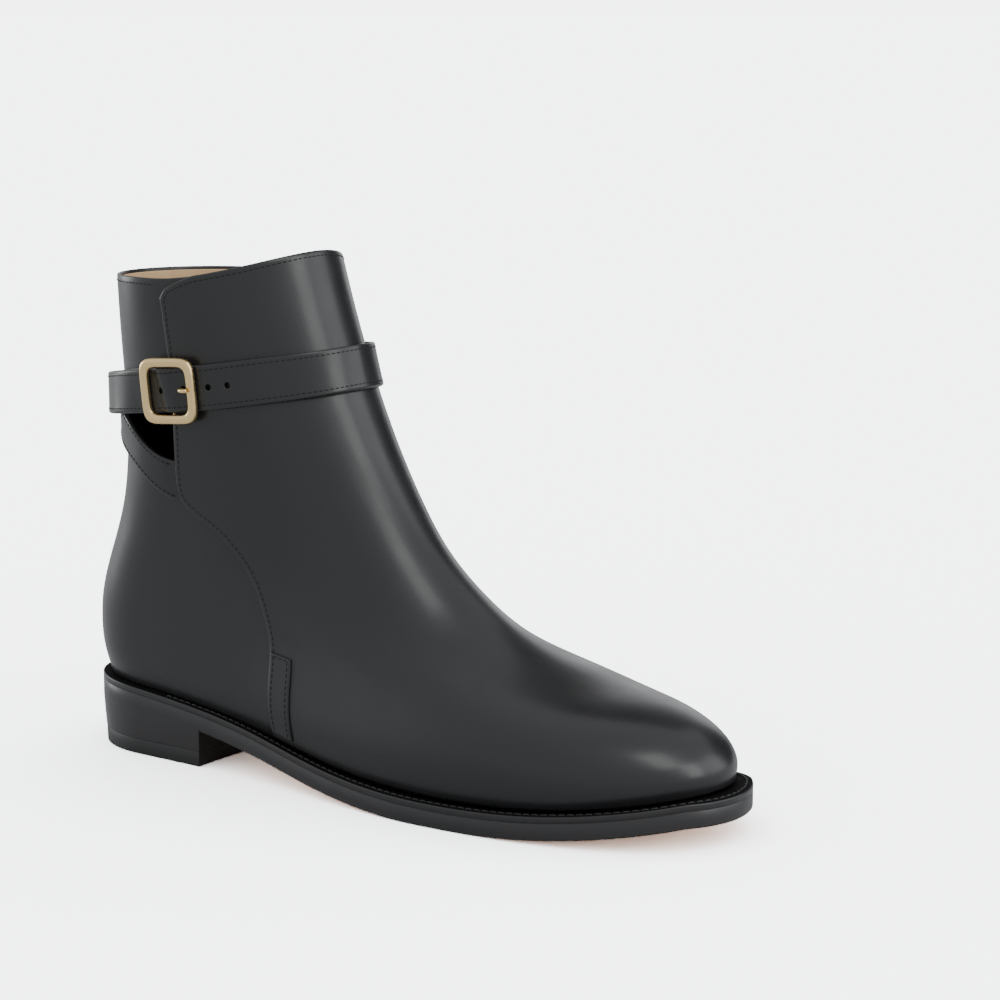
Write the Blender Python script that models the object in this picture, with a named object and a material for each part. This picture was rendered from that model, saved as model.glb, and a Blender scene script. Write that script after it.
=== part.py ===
"""Right jodhpur boot in black calf, size EU 40, standing empty on its sole.

The foot points along +X, the outer side faces -Y and the floor is z = 0.
Every size is in millimetres and is turned into metres when a mesh is made.
The upper is one surface, skin(turn, level). The vamp, straps, stay and tabs are laid on that same surface.
"""
import bpy
import numpy as np

MM = 0.001
FIT_GAP = 0.3           # left between pieces that touch on the real boot
SEAT_GAP = 0.35         # between the upper's lower edge and the welt
WALL = 2.0              # calf and lining of the upper
VAMP_THICK = 1.2
STRAP_THICK = 1.6
STAY_WIDE = 9.0
STAY_THICK = 0.8
TAB_THICK = 0.9
TAB_SHARE = 0.026        # width of a seam tab, as a share of the way round one side
WELT_THICK = 2.7
OUTSOLE_THICK = 6.0
EDGE_HIGH = WELT_THICK + FIT_GAP + OUTSOLE_THICK
LIFT_THICK = 6.0
BREAST_X = 73.0
INSOLE_RISE = 2.6       # above the feather line
COLLAR_LEAN = 0.8       # rise of the collar on its outer side, and its fall on the inner one
TOE_SPREAD = 1.9        # more width of the sole past the toe than beside it
PLAN_MIDDLE = (146.0, 0.02, 0.0)    # middle of the plan, moved to the origin
BUCKLE_X = 67.6
BUCKLE_Z = 142.6
BUCKLE_LEAN = 2.5       # degrees that the buckle turns to follow the strap
BUCKLE_WIDE = 24.6
BUCKLE_HIGH = 25.0
BUCKLE_BAR = 3.4
BUCKLE_THICK = 2.4
BUCKLE_STAND_OFF = 3.9  # back of the frame above the upper, at the buckle's middle
HOLE_WIDE = 2.6
HOLE_TURNS = (1.381, 1.432, 1.4995, 1.561)
PIN_HOLE = 2

# The last, seen from above and from the side: station along the foot, height of the feather line,
# middle of the feather line, line of the instep, half width.
LAST = np.array([
    (0.0, 28.6, -0.5, -0.5, 26.8),
    (30.0, 27.1, -0.5, -0.5, 28.4),
    (65.0, 23.8, -0.6, 0.0, 30.2),
    (100.0, 18.6, -1.6, 1.5, 32.0),
    (135.0, 12.3, -2.4, 3.0, 36.8),
    (170.0, 9.2, -1.8, 4.0, 42.2),
    (200.0, 8.9, -0.6, 3.5, 44.2),
    (235.0, 10.8, 0.5, 2.2, 42.6),
    (278.0, 16.9, 1.0, 1.0, 40.5)])

# The upper from the feather line to the collar: level, back x, back z, front x, front z, share of leg shape,
# fullness of the foot, half width of the leg, depth of the front rounding, depth of the back rounding.
LEVELS = np.array([
    (0.00, 10.0, 28.2, 278.0, 16.9, 0.00, 0.900, 36.0, 68.0, 32.0),
    (0.06, 7.6, 38.0, 278.6, 23.8, 0.00, 0.970, 36.0, 68.0, 32.0),
    (0.13, 7.0, 48.0, 273.0, 31.6, 0.04, 1.000, 36.0, 76.0, 32.5),
    (0.21, 8.2, 59.0, 258.5, 38.3, 0.14, 1.000, 36.0, 98.0, 33.0),
    (0.30, 12.0, 71.5, 230.0, 43.5, 0.30, 0.960, 36.0, 122.0, 33.0),
    (0.40, 17.5, 85.0, 195.0, 54.0, 0.55, 0.880, 36.0, 130.0, 34.0),
    (0.50, 22.0, 98.5, 166.0, 74.0, 0.80, 0.800, 35.0, 110.0, 36.0),
    (0.60, 24.2, 113.0, 147.5, 96.0, 0.96, 0.800, 34.0, 88.0, 38.0),
    (0.70, 24.4, 128.5, 133.5, 119.5, 1.00, 0.800, 34.0, 69.0, 40.0),
    (0.80, 23.7, 145.0, 122.0, 144.5, 1.00, 0.800, 35.0, 59.0, 41.0),
    (0.90, 23.0, 163.0, 113.0, 169.0, 1.00, 0.800, 36.0, 54.0, 40.0),
    (1.00, 22.5, 181.9, 106.0, 192.5, 1.00, 0.800, 36.6, 51.0, 39.0)])

# Rear edge of the vamp, the same on both sides: level, share of the way from the back seam to the front.
VAMP_EDGE = np.array([
    (0.00, 0.418), (0.10, 0.421), (0.20, 0.434), (0.30, 0.456), (0.38, 0.475), (0.44, 0.482), (0.48, 0.472),
    (0.51, 0.450), (0.535, 0.415), (0.555, 0.397), (0.58, 0.393), (0.62, 0.400), (0.70, 0.422), (0.78, 0.448),
    (0.86, 0.466), (0.94, 0.474), (1.00, 0.476)])

# Long strap, from its low start on the outer side, round the back and the inner side, over the front and
# through the buckle: turn and height of the upper edge, turn and height of the lower edge.
LONG_STRAP = np.array([
    (-0.397, 116.3, -0.388, 101.0), (-0.360, 117.9, -0.345, 104.0), (-0.305, 123.3, -0.280, 112.2),
    (-0.255, 129.4, -0.215, 117.4), (-0.170, 135.6, -0.130, 122.6), (-0.060, 140.2, -0.040, 126.4),
    (0.060, 143.4, 0.060, 128.6), (0.180, 145.6, 0.180, 129.8), (0.300, 147.7, 0.300, 131.6),
    (0.430, 149.9, 0.430, 133.6), (0.560, 152.6, 0.560, 136.2), (0.690, 155.0, 0.690, 138.8),
    (0.820, 156.4, 0.820, 140.6), (0.930, 157.1, 0.930, 141.6), (1.000, 157.3, 1.000, 141.8),
    (1.070, 157.1, 1.070, 141.6), (1.180, 156.4, 1.180, 140.6), (1.310, 155.0, 1.310, 138.8),
    (1.420, 152.9, 1.420, 136.7), (1.480, 151.9, 1.480, 135.6), (1.520, 151.3, 1.520, 135.0),
    (1.560, 150.6, 1.560, 134.3), (1.620, 149.4, 1.620, 133.2), (1.700, 148.0, 1.700, 132.0),
    (1.800, 146.0, 1.800, 130.1), (1.905, 143.9, 1.905, 128.9)])

# How far the inner face of the long strap stands off the upper: turn, at the upper edge, at the lower edge.
LONG_STAND = np.array([
    (-0.40, 0.3, 0.3), (-0.28, 0.3, 0.5), (-0.12, 1.4, 1.4), (0.12, 1.4, 1.4), (0.22, 0.7, 0.8),
    (0.35, 0.5, 0.5), (0.42, 1.9, 1.9), (0.60, 2.2, 1.9), (0.80, 3.0, 1.9), (1.00, 4.3, 2.0),
    (1.20, 3.0, 1.9),
    (1.40, 2.0, 1.9), (1.503, 1.9, 1.9), (1.526, 3.8, 3.8), (1.552, 3.8, 3.8), (1.575, 2.3, 2.3),
    (1.65, 2.3, 2.5), (1.74, 2.9, 4.5), (1.82, 4.5, 5.2), (1.88, 5.4, 5.4), (1.92, 5.4, 5.4)])

# Buckle strap, from its low start on the inner side, round the back and up to the buckle's bar.
BUCKLE_STRAP = np.array([
    (0.397, 116.3, 0.388, 101.0), (0.360, 117.9, 0.345, 104.0), (0.305, 123.3, 0.280, 112.2),
    (0.255, 129.4, 0.215, 117.4), (0.170, 135.6, 0.130, 122.6), (0.060, 140.2, 0.040, 126.4),
    (-0.060, 143.4, -0.060, 128.6), (-0.180, 145.6, -0.180, 129.8), (-0.300, 148.0, -0.300, 132.0),
    (-0.395, 149.8, -0.385, 133.6), (-0.455, 150.9, -0.430, 134.3)])
BUCKLE_STAND = np.array([
    (-0.46, 0.3, 0.3), (-0.36, 0.3, 0.3), (-0.26, 0.9, 2.4), (-0.18, 2.5, 3.2), (-0.11, 3.4, 3.4),
    (0.11, 3.4, 3.4),
    (0.19, 3.4, 2.9), (0.26, 2.7, 0.8), (0.32, 0.4, 0.3), (0.40, 0.3, 0.3)])


def spline(xs, ys, at):
    """Natural cubic curve through the points (xs, ys), read at any values."""
    gap = np.diff(xs)
    count = len(xs)
    left = np.eye(count)
    right = np.zeros(count)
    for i in range(1, count - 1):
        left[i, i - 1:i + 2] = gap[i - 1], 2 * (gap[i - 1] + gap[i]), gap[i]
        right[i] = 6 * ((ys[i + 1] - ys[i]) / gap[i] - (ys[i] - ys[i - 1]) / gap[i - 1])
    bend = np.linalg.solve(left, right)
    at = np.clip(np.asarray(at, float), xs[0], xs[-1])
    i = np.clip(np.searchsorted(xs, at, side="right") - 1, 0, count - 2)
    lower = at - xs[i]
    upper = xs[i + 1] - at
    curve = (bend[i] * upper**3 + bend[i + 1] * lower**3) / (6 * gap[i])
    curve += (ys[i] / gap[i] - bend[i] * gap[i] / 6) * upper
    return curve + (ys[i + 1] / gap[i] - bend[i + 1] * gap[i] / 6) * lower


def column(table, number, at):
    return spline(table[:, 0], table[:, number], at)


def ease(share):
    share = np.clip(share, 0.0, 1.0)
    return share**3 * (share * (6 * share - 15) + 10)


def round_end(share):
    """0 at the end of an oval, 1 where its side begins."""
    return np.sqrt(1 - (1 - np.clip(share, 0.0, 1.0))**2.5)


def skin_point(turn, level):
    """Point on the upper. Turn is 0 at the back seam, -1 or 1 at the front, below 0 on the outer side."""
    turn = (np.asarray(turn, float) + 1) % 2 - 1
    level = np.clip(np.asarray(level, float) + 0 * turn, 0.0, 1.0)
    back_x, back_z, front_x, front_z, leg, full, leg_half, front_deep, back_deep = (
        column(LEVELS, k, level) for k in range(1, 10))
    share = (1 - np.cos(np.pi * np.abs(turn))) / 2
    x = back_x + (front_x - back_x) * share
    rise = np.clip((np.abs(turn) - 0.45) / 0.55, 0.0, 1.0)
    rise = share + (rise * rise * (3 - 2 * rise) - share) * level**3
    line = back_z + (front_z - back_z) * rise
    feather = column(LAST, 1, x)
    sag = feather - column(LAST, 1, back_x) - (column(LAST, 1, front_x) - column(LAST, 1, back_x)) * share
    z = line + sag * (1 - level)**2.5
    half = (1 - leg) * full * column(LAST, 4, x) + leg * leg_half
    half = half * round_end((front_x - x) / front_deep) * round_end((x - back_x) / back_deep)
    high = ease(level / 0.3)
    middle = (1 - high) * column(LAST, 2, x) + high * column(LAST, 3, x)
    z = z - COLLAR_LEAN * level**6 * np.sign(turn) * half / leg_half
    return np.stack([x, middle + np.sign(turn) * half, z], -1)


def skin_normal(turn, level):
    step = 1e-3
    turn = np.asarray(turn, float)
    level = np.clip(np.asarray(level, float) + 0 * turn, 0.0, 1.0)
    along = skin_point(turn + step, level) - skin_point(turn - step, level)
    up = skin_point(turn, level + step) - skin_point(turn, level - step)
    normal = np.cross(up, along)
    return normal / np.linalg.norm(normal, axis=-1, keepdims=True)


def skin(turn, level, out=0.0):
    """Point at a distance outside the upper's surface, or inside it where out is below 0."""
    out = np.asarray(out, float)[..., None]
    return skin_point(turn, level) + skin_normal(turn, level) * out


def level_at(turn, height):
    """Level at which the upper's surface has a given height."""
    turn = np.asarray(turn, float)
    low = np.zeros(np.broadcast(turn, height).shape)
    high = low + 1.0
    for _ in range(26):
        middle = (low + high) / 2
        under = skin_point(turn, middle)[..., 2] < height
        low = np.where(under, middle, low)
        high = np.where(under, high, middle)
    return (low + high) / 2


def clear_scene():
    for item in list(bpy.data.objects):
        bpy.data.objects.remove(item, do_unlink=True)


def material(name, colour, rough, metal=0.0):
    made = bpy.data.materials.get(name)
    if made is None:
        made = bpy.data.materials.new(name)
        made.use_nodes = True
        shader = made.node_tree.nodes["Principled BSDF"]
        shader.inputs["Base Color"].default_value = (*colour, 1.0)
        shader.inputs["Roughness"].default_value = rough
        shader.inputs["Metallic"].default_value = metal
    return made


CALF = ("black_calf", (0.018, 0.018, 0.019), 0.32)
LINING = ("tan_leather", (0.56, 0.38, 0.2), 0.6)
SOLE_EDGE = ("black_sole_leather", (0.014, 0.014, 0.014), 0.42)
RUBBER = ("black_rubber", (0.012, 0.012, 0.012), 0.6)
BRASS = ("gold_brass", (0.78, 0.57, 0.24), 0.3, 1.0)


def solid(name, points, faces, surface):
    """Mesh object from millimetre points, its origin at the middle of its box."""
    points = (np.asarray(points, float) - PLAN_MIDDLE) * MM
    centre = (points.min(0) + points.max(0)) / 2
    mesh = bpy.data.meshes.new(name)
    mesh.from_pydata([tuple(p) for p in points - centre], [], faces)
    mesh.validate()
    for face in mesh.polygons:
        face.use_smooth = True
    mesh.set_sharp_from_angle(angle=0.6)
    mesh.materials.append(material(*surface))
    made = bpy.data.objects.new(name, mesh)
    made.location = centre
    bpy.context.scene.collection.objects.link(made)
    return made


def ring_faces(rows, count, closed=True):
    """Triangles between rows of points, all split the same way so that layers stay parallel."""
    faces = []
    for r in range(rows - 1):
        for c in range(count if closed else count - 1):
            d = (c + 1) % count
            faces.append((r * count + c, r * count + d, (r + 1) * count + d))
            faces.append((r * count + c, (r + 1) * count + d, (r + 1) * count + c))
    return faces


def tube(name, outer, inner, surface):
    """Open tube with a wall: outer and inner are grids of the same shape, row by row from the bottom."""
    rows, count = outer.shape[:2]
    size = rows * count
    faces = ring_faces(rows, count)
    faces += [tuple(size + k for k in reversed(face)) for face in ring_faces(rows, count)]
    for c in range(count):
        d = (c + 1) % count
        top = (rows - 1) * count
        faces.append((top + c, top + d, size + top + d, size + top + c))
        faces.append((d, c, size + c, size + d))
    return solid(name, np.r_[outer.reshape(-1, 3), inner.reshape(-1, 3)], faces, surface)


def sheet(name, outer, inner, surface):
    """Slab between two open grids of the same shape, outer facing out."""
    rows, count = outer.shape[:2]
    size = rows * count
    faces = ring_faces(rows, count, closed=False)
    faces += [tuple(size + k for k in reversed(face)) for face in ring_faces(rows, count, closed=False)]
    border = list(range(count)) + [r * count + count - 1 for r in range(1, rows)]
    border += [(rows - 1) * count + c for c in range(count - 2, -1, -1)]
    border += [r * count for r in range(rows - 2, 0, -1)]
    for a, b in zip(border, border[1:] + border[:1]):
        faces.append((b, a, size + a, size + b))
    return solid(name, np.r_[outer.reshape(-1, 3), inner.reshape(-1, 3)], faces, surface)


def paired_cap(start, count, closed):
    """Faces over a loop whose points pair up across the foot, closed at its first point or open there."""
    faces = []
    half = count // 2
    if closed:
        faces.append((start, start + 1, start + count - 1))
        for k in range(1, half - 1):
            faces.append((start + k, start + k + 1, start + count - k - 1, start + count - k))
        faces.append((start + half - 1, start + half, start + half + 1))
    else:
        for k in range(half - 1):
            faces.append((start + k, start + k + 1, start + count - k - 2, start + count - k - 1))
        faces.append((start + half - 1, start + half, start + half + 1))
    return faces


def plate(name, loops, surface, closed=True):
    """Solid from loops of points, the lowest first, each running round the foot in the same order."""
    rows = len(loops)
    count = len(loops[0])
    faces = ring_faces(rows, count)
    faces += [tuple(reversed(face)) for face in paired_cap(0, count, closed)]
    faces += paired_cap((rows - 1) * count, count, closed)
    return solid(name, np.concatenate(loops), faces, surface)


# Upper: one hollow shell, with columns that follow the vamp's rear edge.
REAR_COLUMNS = np.array([0.0, 0.12, 0.26, 0.4, 0.54, 0.67, 0.79, 0.9, 1.0])
FRONT_COLUMNS = np.array([0.0, 0.02, 0.055, 0.11, 0.19, 0.28, 0.37, 0.46, 0.55, 0.64, 0.73, 0.82, 0.91, 1.0])
SHELL_LEVELS = np.concatenate([np.linspace(0.0, 0.12, 5), np.linspace(0.165, 0.945, 16), [0.978, 1.0]])


def vamp_edge(level):
    return column(VAMP_EDGE, 1, level)


def half_columns(level):
    """Shares of the way round one side at a level, the vamp's rear edge among them."""
    edge = vamp_edge(level)
    return np.r_[edge * REAR_COLUMNS[:-1], edge + (1 - edge) * FRONT_COLUMNS]


def make_upper():
    turns = []
    for level in SHELL_LEVELS:
        side = half_columns(level)
        turns.append(np.r_[-side, side[1:-1][::-1]])
    turns = np.array(turns)
    levels = np.repeat(SHELL_LEVELS[:, None], turns.shape[1], 1)
    return tube("upper", skin(turns, levels), skin(turns, levels, -WALL), CALF)


def make_vamp():
    """Front piece: a second layer whose rear edges stand free over the shaft."""
    turns, levels = [], []
    for level in SHELL_LEVELS:
        side = vamp_edge(level) + (1 - vamp_edge(level)) * FRONT_COLUMNS
        turns.append(np.r_[-side, (side[:-1] - 2)[::-1]])
    turns = np.array(turns)
    drop = np.interp(FRONT_COLUMNS, [0.0, 0.02, 0.055, 0.11, 0.19], [0.040, 0.028, 0.017, 0.0095, 0.001])
    drop = np.r_[drop, drop[:-1][::-1]]
    lifted = np.maximum(SHELL_LEVELS, 0.009)
    levels = np.array([level - drop * ease((level - 0.9) / 0.1) for level in lifted])
    return sheet("vamp", skin(turns, levels, FIT_GAP + VAMP_THICK), skin(turns, levels, FIT_GAP), CALF)


# Sole pieces: loops pushed out from the feather line, paired across the foot.
SOLE_COUNT = 72


def feather_loop(extra_back, extra_side, extra_toe, start=None):
    """Points of the feather line seen from above and pushed out, from the back round the outer side."""
    turn = np.linspace(0, 2, SOLE_COUNT, endpoint=False)
    if start is not None:
        turn = np.linspace(start, 2 - start, SOLE_COUNT // 2 + 1)
    turn = -turn
    plan = skin_point(turn, 0.0)[..., :2]
    along = skin_point(turn - 1e-3, 0.0)[..., :2] - skin_point(turn + 1e-3, 0.0)[..., :2]
    out = np.stack([along[:, 1], -along[:, 0]], -1)
    out /= np.linalg.norm(out, axis=1)[:, None]
    past_toe = extra_toe + TOE_SPREAD * (extra_toe > 0)
    extra = np.interp(plan[:, 0], [0, 40, 80, 170, 240, 276],
                      [extra_back, extra_side, extra_side, extra_toe, extra_toe, past_toe])
    return plan + out * extra[:, None]


def feather_height(x):
    return column(LAST, 1, x)


def ground_height(x):
    """Underside of the outsole, flat where the ball of the foot rests."""
    return np.maximum(feather_height(x) - EDGE_HIGH, 0.0)


def lift_loop(plan, height):
    return np.c_[plan, np.zeros(len(plan)) + height]


def make_welt():
    outer = feather_loop(3.4, 3.6, 6.2)
    inner = feather_loop(-WALL, -WALL, -WALL)
    top = feather_height(outer[:, 0]) - SEAT_GAP
    top_in = feather_height(inner[:, 0]) - SEAT_GAP
    low = feather_height(outer[:, 0]) - WELT_THICK
    low_in = feather_height(inner[:, 0]) - WELT_THICK
    rows_out = [lift_loop(outer, low), lift_loop(outer, top - 0.5), lift_loop(shrink(outer, 0.5), top)]
    rows_in = [lift_loop(inner, low_in), lift_loop(inner, top_in - 1.0), lift_loop(inner, top_in)]
    return tube("welt", np.array(rows_out), np.array(rows_in), SOLE_EDGE)


def shrink(loop, inset):
    """The same loop moved inward."""
    along = np.roll(loop, -1, 0) - np.roll(loop, 1, 0)
    out = np.stack([along[:, 1], -along[:, 0]], -1)
    out /= np.linalg.norm(out, axis=1)[:, None]
    return loop - out * inset


def make_outsole():
    outer = feather_loop(3.4, 3.6, 6.2)
    inset = shrink(outer, 0.8)
    top = feather_height(outer[:, 0]) - WELT_THICK - 1.4 * FIT_GAP
    low = ground_height(outer[:, 0])
    loops = [lift_loop(inset, ground_height(inset[:, 0])), lift_loop(outer, low + 0.8),
             lift_loop(outer, top - 0.5), lift_loop(shrink(outer, 0.4), top)]
    return plate("outsole", loops, SOLE_EDGE)


def make_insole():
    inner = feather_loop(*[-WALL - 1.5 * FIT_GAP] * 3)
    rim = feather_loop(*[-WALL - 3.5 * FIT_GAP] * 3)
    loops = [lift_loop(inner, feather_height(inner[:, 0]) - WELT_THICK),
             lift_loop(inner, feather_height(inner[:, 0])),
             lift_loop(rim, feather_height(rim[:, 0]) + INSOLE_RISE)]
    return plate("insole", loops, LINING)


def heel_plan(inset):
    """Rear of the sole outline from the outer breast corner round the back to the inner one."""
    start = 0.5
    while skin_point(start, 0.0)[0] > BREAST_X:
        start -= 0.002
    turn = np.linspace(start, -start, 29)
    plan = skin_point(turn, 0.0)[..., :2]
    along = skin_point(turn - 1e-3, 0.0)[..., :2] - skin_point(turn + 1e-3, 0.0)[..., :2]
    out = np.stack([along[:, 1], -along[:, 0]], -1)
    out /= np.linalg.norm(out, axis=1)[:, None]
    extra = np.interp(plan[:, 0], [0, 40, 80], [3.4, 3.6, 3.6])
    return plan + out * (extra - inset)[:, None]


def make_heel():
    top = heel_plan(0.0)
    low = heel_plan(0.9)
    under = ground_height(top[:, 0]) - FIT_GAP
    loops = [lift_loop(low, LIFT_THICK + FIT_GAP), lift_loop(top, under)]
    return plate("heel", loops, SOLE_EDGE, closed=False)


def make_top_lift():
    low = heel_plan(1.7)
    mid = heel_plan(1.0)
    loops = [lift_loop(low, 0.0), lift_loop(mid, 0.8), lift_loop(mid, LIFT_THICK)]
    return plate("top_lift", loops, RUBBER, closed=False)


def soft(xs, ys, at, reach):
    """Straight runs between the points, their corners rounded over a reach."""
    return np.mean([np.interp(at + shift, xs, ys) for shift in np.linspace(-reach, reach, 7)], axis=0)


def strap_grid(path, stand, steps, thick, tip=0.0):
    """Outer and inner grids of a strap. Tip is the length in turns over which its end is rounded."""
    place = np.arange(len(path))
    at = np.linspace(0, len(path) - 1, steps)
    edges = [spline(place, path[:, k], at) for k in range(4)]
    middle = (edges[0] + edges[2]) / 2
    order = np.argsort(stand[:, 0])
    stands = [soft(stand[order, 0], stand[order, k], middle, 0.008) for k in (1, 2)]
    narrow = np.ones(steps)
    if tip:
        left = np.clip(np.abs(middle[-1] - middle) / tip, 0.0, 1.0)
        narrow = np.sqrt(1 - 0.93 * (1 - left)**2)
    outer, inner = [], []
    for across in (0.0, 0.5, 1.0):
        share = 0.5 + (across - 0.5) * narrow
        turn = edges[2] + (edges[0] - edges[2]) * share
        height = edges[3] + (edges[1] - edges[3]) * share
        off = stands[1] + (stands[0] - stands[1]) * share
        level = level_at(turn, height)
        inner.append(skin(turn, level, off))
        outer.append(skin(turn, level, off + thick))
    return np.array(outer), np.array(inner)


def cut(target, cutters):
    """Real holes by exact Boolean, the cutters left hidden."""
    for cutter in cutters:
        cutter.hide_render = True
        cutter.display_type = "WIRE"
        step = target.modifiers.new("hole", "BOOLEAN")
        step.operation = "DIFFERENCE"
        step.solver = "EXACT"
        step.object = cutter


def rod(name, points, radii, surface, sides=10):
    """Round bar through points, with flat ends."""
    points = np.asarray(points, float)
    along = np.gradient(points, axis=0)
    along /= np.linalg.norm(along, axis=1)[:, None]
    side = np.cross(along, (0.0, 0.0, 1.0))
    side /= np.linalg.norm(side, axis=1)[:, None]
    up = np.cross(along, side)
    angle = 2 * np.pi * np.arange(sides) / sides
    rings = [p + r * (np.outer(np.cos(angle), a) + np.outer(np.sin(angle), b))
             for p, r, a, b in zip(points, radii, side, up)]
    faces = ring_faces(len(points), sides)
    faces += [tuple(range(sides - 1, -1, -1)), tuple((len(points) - 1) * sides + k for k in range(sides))]
    return solid(name, np.concatenate(rings), faces, surface)


def hole_place(turn):
    """Turn and level of a hole in the middle of the long strap."""
    height = np.interp(turn, LONG_STRAP[14:, 0], (LONG_STRAP[14:, 1] + LONG_STRAP[14:, 3]) / 2)
    return turn, level_at(turn, height)


def make_long_strap():
    outer, inner = strap_grid(LONG_STRAP, LONG_STAND, 83, STRAP_THICK, tip=0.06)
    # This strap runs the other way round, so its rows are taken from the top.
    strap = sheet("long_strap", outer[::-1], inner[::-1], CALF)
    cutters = []
    for number, turn in enumerate(HOLE_TURNS):
        ends = [skin(*hole_place(turn), off) for off in (0.8, 7.5)]
        cutters.append(rod(f"hole_cutter_{number + 1}", ends, [HOLE_WIDE / 2] * 2, CALF))
    cut(strap, cutters)


def make_buckle_strap():
    outer, inner = strap_grid(BUCKLE_STRAP, BUCKLE_STAND, 45, STRAP_THICK)
    sheet("buckle_strap", outer, inner, CALF)


def buckle_axes():
    """Middle of the buckle on the upper, with its directions forward, up and out."""
    turns = np.linspace(-0.6, -0.3, 301)
    points = skin_point(turns, level_at(turns, BUCKLE_Z))
    turn = turns[np.argmin(np.abs(points[:, 0] - BUCKLE_X))]
    level = level_at(turn, BUCKLE_Z)
    out = skin_normal(turn, level)
    forward = np.cross((0.0, 0.0, 1.0), out)
    forward /= np.linalg.norm(forward)
    up = np.cross(out, forward)
    lean = np.radians(BUCKLE_LEAN)
    forward, up = forward * np.cos(lean) + up * np.sin(lean), up * np.cos(lean) - forward * np.sin(lean)
    return skin_point(turn, level), forward, up, out


def make_buckle():
    """Cast brass frame with softly rounded edges, and its centre bar under the strap."""
    middle, forward, up, out = buckle_axes()
    steps = 36
    angle = 2 * np.pi * np.arange(steps) / steps
    power = 2 / 4.2

    def ring(wide, high, off):
        x = wide / 2 * np.sign(np.cos(angle)) * np.abs(np.cos(angle))**power
        y = high / 2 * np.sign(np.sin(angle)) * np.abs(np.sin(angle))**power
        return middle + np.outer(x, forward) + np.outer(y, up) + out * off

    low, top = BUCKLE_STAND_OFF, BUCKLE_STAND_OFF + BUCKLE_THICK
    bar = BUCKLE_BAR
    section = [(0.0, 0.5), (0.0, 1.6), (0.35, 2.1), (1.1, 2.4), (2.3, 2.4), (3.05, 2.1), (3.4, 1.6),
               (3.4, 0.5),
               (3.0, 0.0), (0.4, 0.0)]
    rings = [ring(BUCKLE_WIDE - 2 * inset * bar / 3.4, BUCKLE_HIGH - 2 * inset * bar / 3.4,
                  low + rise * (top - low) / 2.4) for inset, rise in section]
    count = len(rings)
    faces = []
    for r in range(count):
        for c in range(steps):
            d, q = (c + 1) % steps, (r + 1) % count
            faces.append((r * steps + c, r * steps + d, q * steps + d, q * steps + c))
    frame = solid("buckle_frame", np.concatenate(rings), faces, BRASS)
    end, post = BUCKLE_HIGH / 2 - 1.0, BUCKLE_HIGH / 2 - BUCKLE_BAR
    profile = [(-end, -1.9), (end, -1.9), (end, 0.4), (post, 0.4),
               (post, -0.8), (-post, -0.8), (-post, 0.4), (-end, 0.4)]
    box = [middle + forward * x + up * y + out * (low + z) for x in (1.1, -1.1) for y, z in profile]
    sides = [tuple(range(8)), tuple(range(15, 7, -1))]
    sides += [(k, k + 8, (k + 1) % 8 + 8, (k + 1) % 8) for k in range(8)]
    bar_cutter = solid("bar_blank", box, sides, BRASS)
    bar_cutter.hide_render = True
    bar_cutter.display_type = "WIRE"
    join = frame.modifiers.new("bar", "BOOLEAN")
    join.operation = "UNION"
    join.solver = "EXACT"
    join.object = bar_cutter


def make_pin():
    """Pin out of the strap's hole, its tip on the front bar of the frame."""
    middle, forward, up, out = buckle_axes()
    hole = skin(*hole_place(HOLE_TURNS[PIN_HOLE]), 0.0) - middle
    start, high = hole @ forward, hole @ up
    path = [(0.0, 2.2), (0.1, 4.6), (0.7, 6.2), (2.0, 7.3), (3.7, 7.5), (4.5, 7.45)]
    points = [middle + forward * (start + x) + up * high + out * z for x, z in path]
    rod("buckle_pin", points, [0.7, 0.75, 0.8, 0.8, 0.75, 0.5], BRASS)


def make_back_stay():
    """Thin strip over the seam at the back, from the welt to the collar."""
    rows = np.linspace(0.015, 0.985, 24)
    wide = [STAY_WIDE / 2 / np.linalg.norm(skin_point(0.02, v) - skin_point(0.0, v)) * 0.02 for v in rows]
    turns = np.array([[w, w / 2, 0.0, -w / 2, -w] for w in wide])
    levels = np.repeat(rows[:, None], 5, 1)
    sheet("back_stay", skin(turns, levels, FIT_GAP + STAY_THICK), skin(turns, levels, FIT_GAP), CALF)


def make_seam_tab(name, side):
    """Small rectangle sewn on at the foot of the vamp seam."""
    rows = np.linspace(0.025, 0.225, 6)
    turns = np.array([vamp_edge(v) + 0.003 + TAB_SHARE * np.linspace(0.0, 1.0, 4) for v in rows])
    levels = np.repeat(rows[:, None], 4, 1)
    if side > 0:
        turns = turns[:, ::-1]
    off = 2 * FIT_GAP + VAMP_THICK
    sheet(name, skin(side * turns, levels, off + TAB_THICK), skin(side * turns, levels, off), CALF)


clear_scene()
make_upper()
make_vamp()
make_welt()
make_outsole()
make_insole()
make_heel()
make_top_lift()
make_back_stay()
make_seam_tab("seam_tab_outer", -1)
make_seam_tab("seam_tab_inner", 1)
make_long_strap()
make_buckle_strap()
make_buckle()
make_pin()
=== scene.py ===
import bpy
import numpy as np
from mathutils import Matrix, Vector


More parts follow.
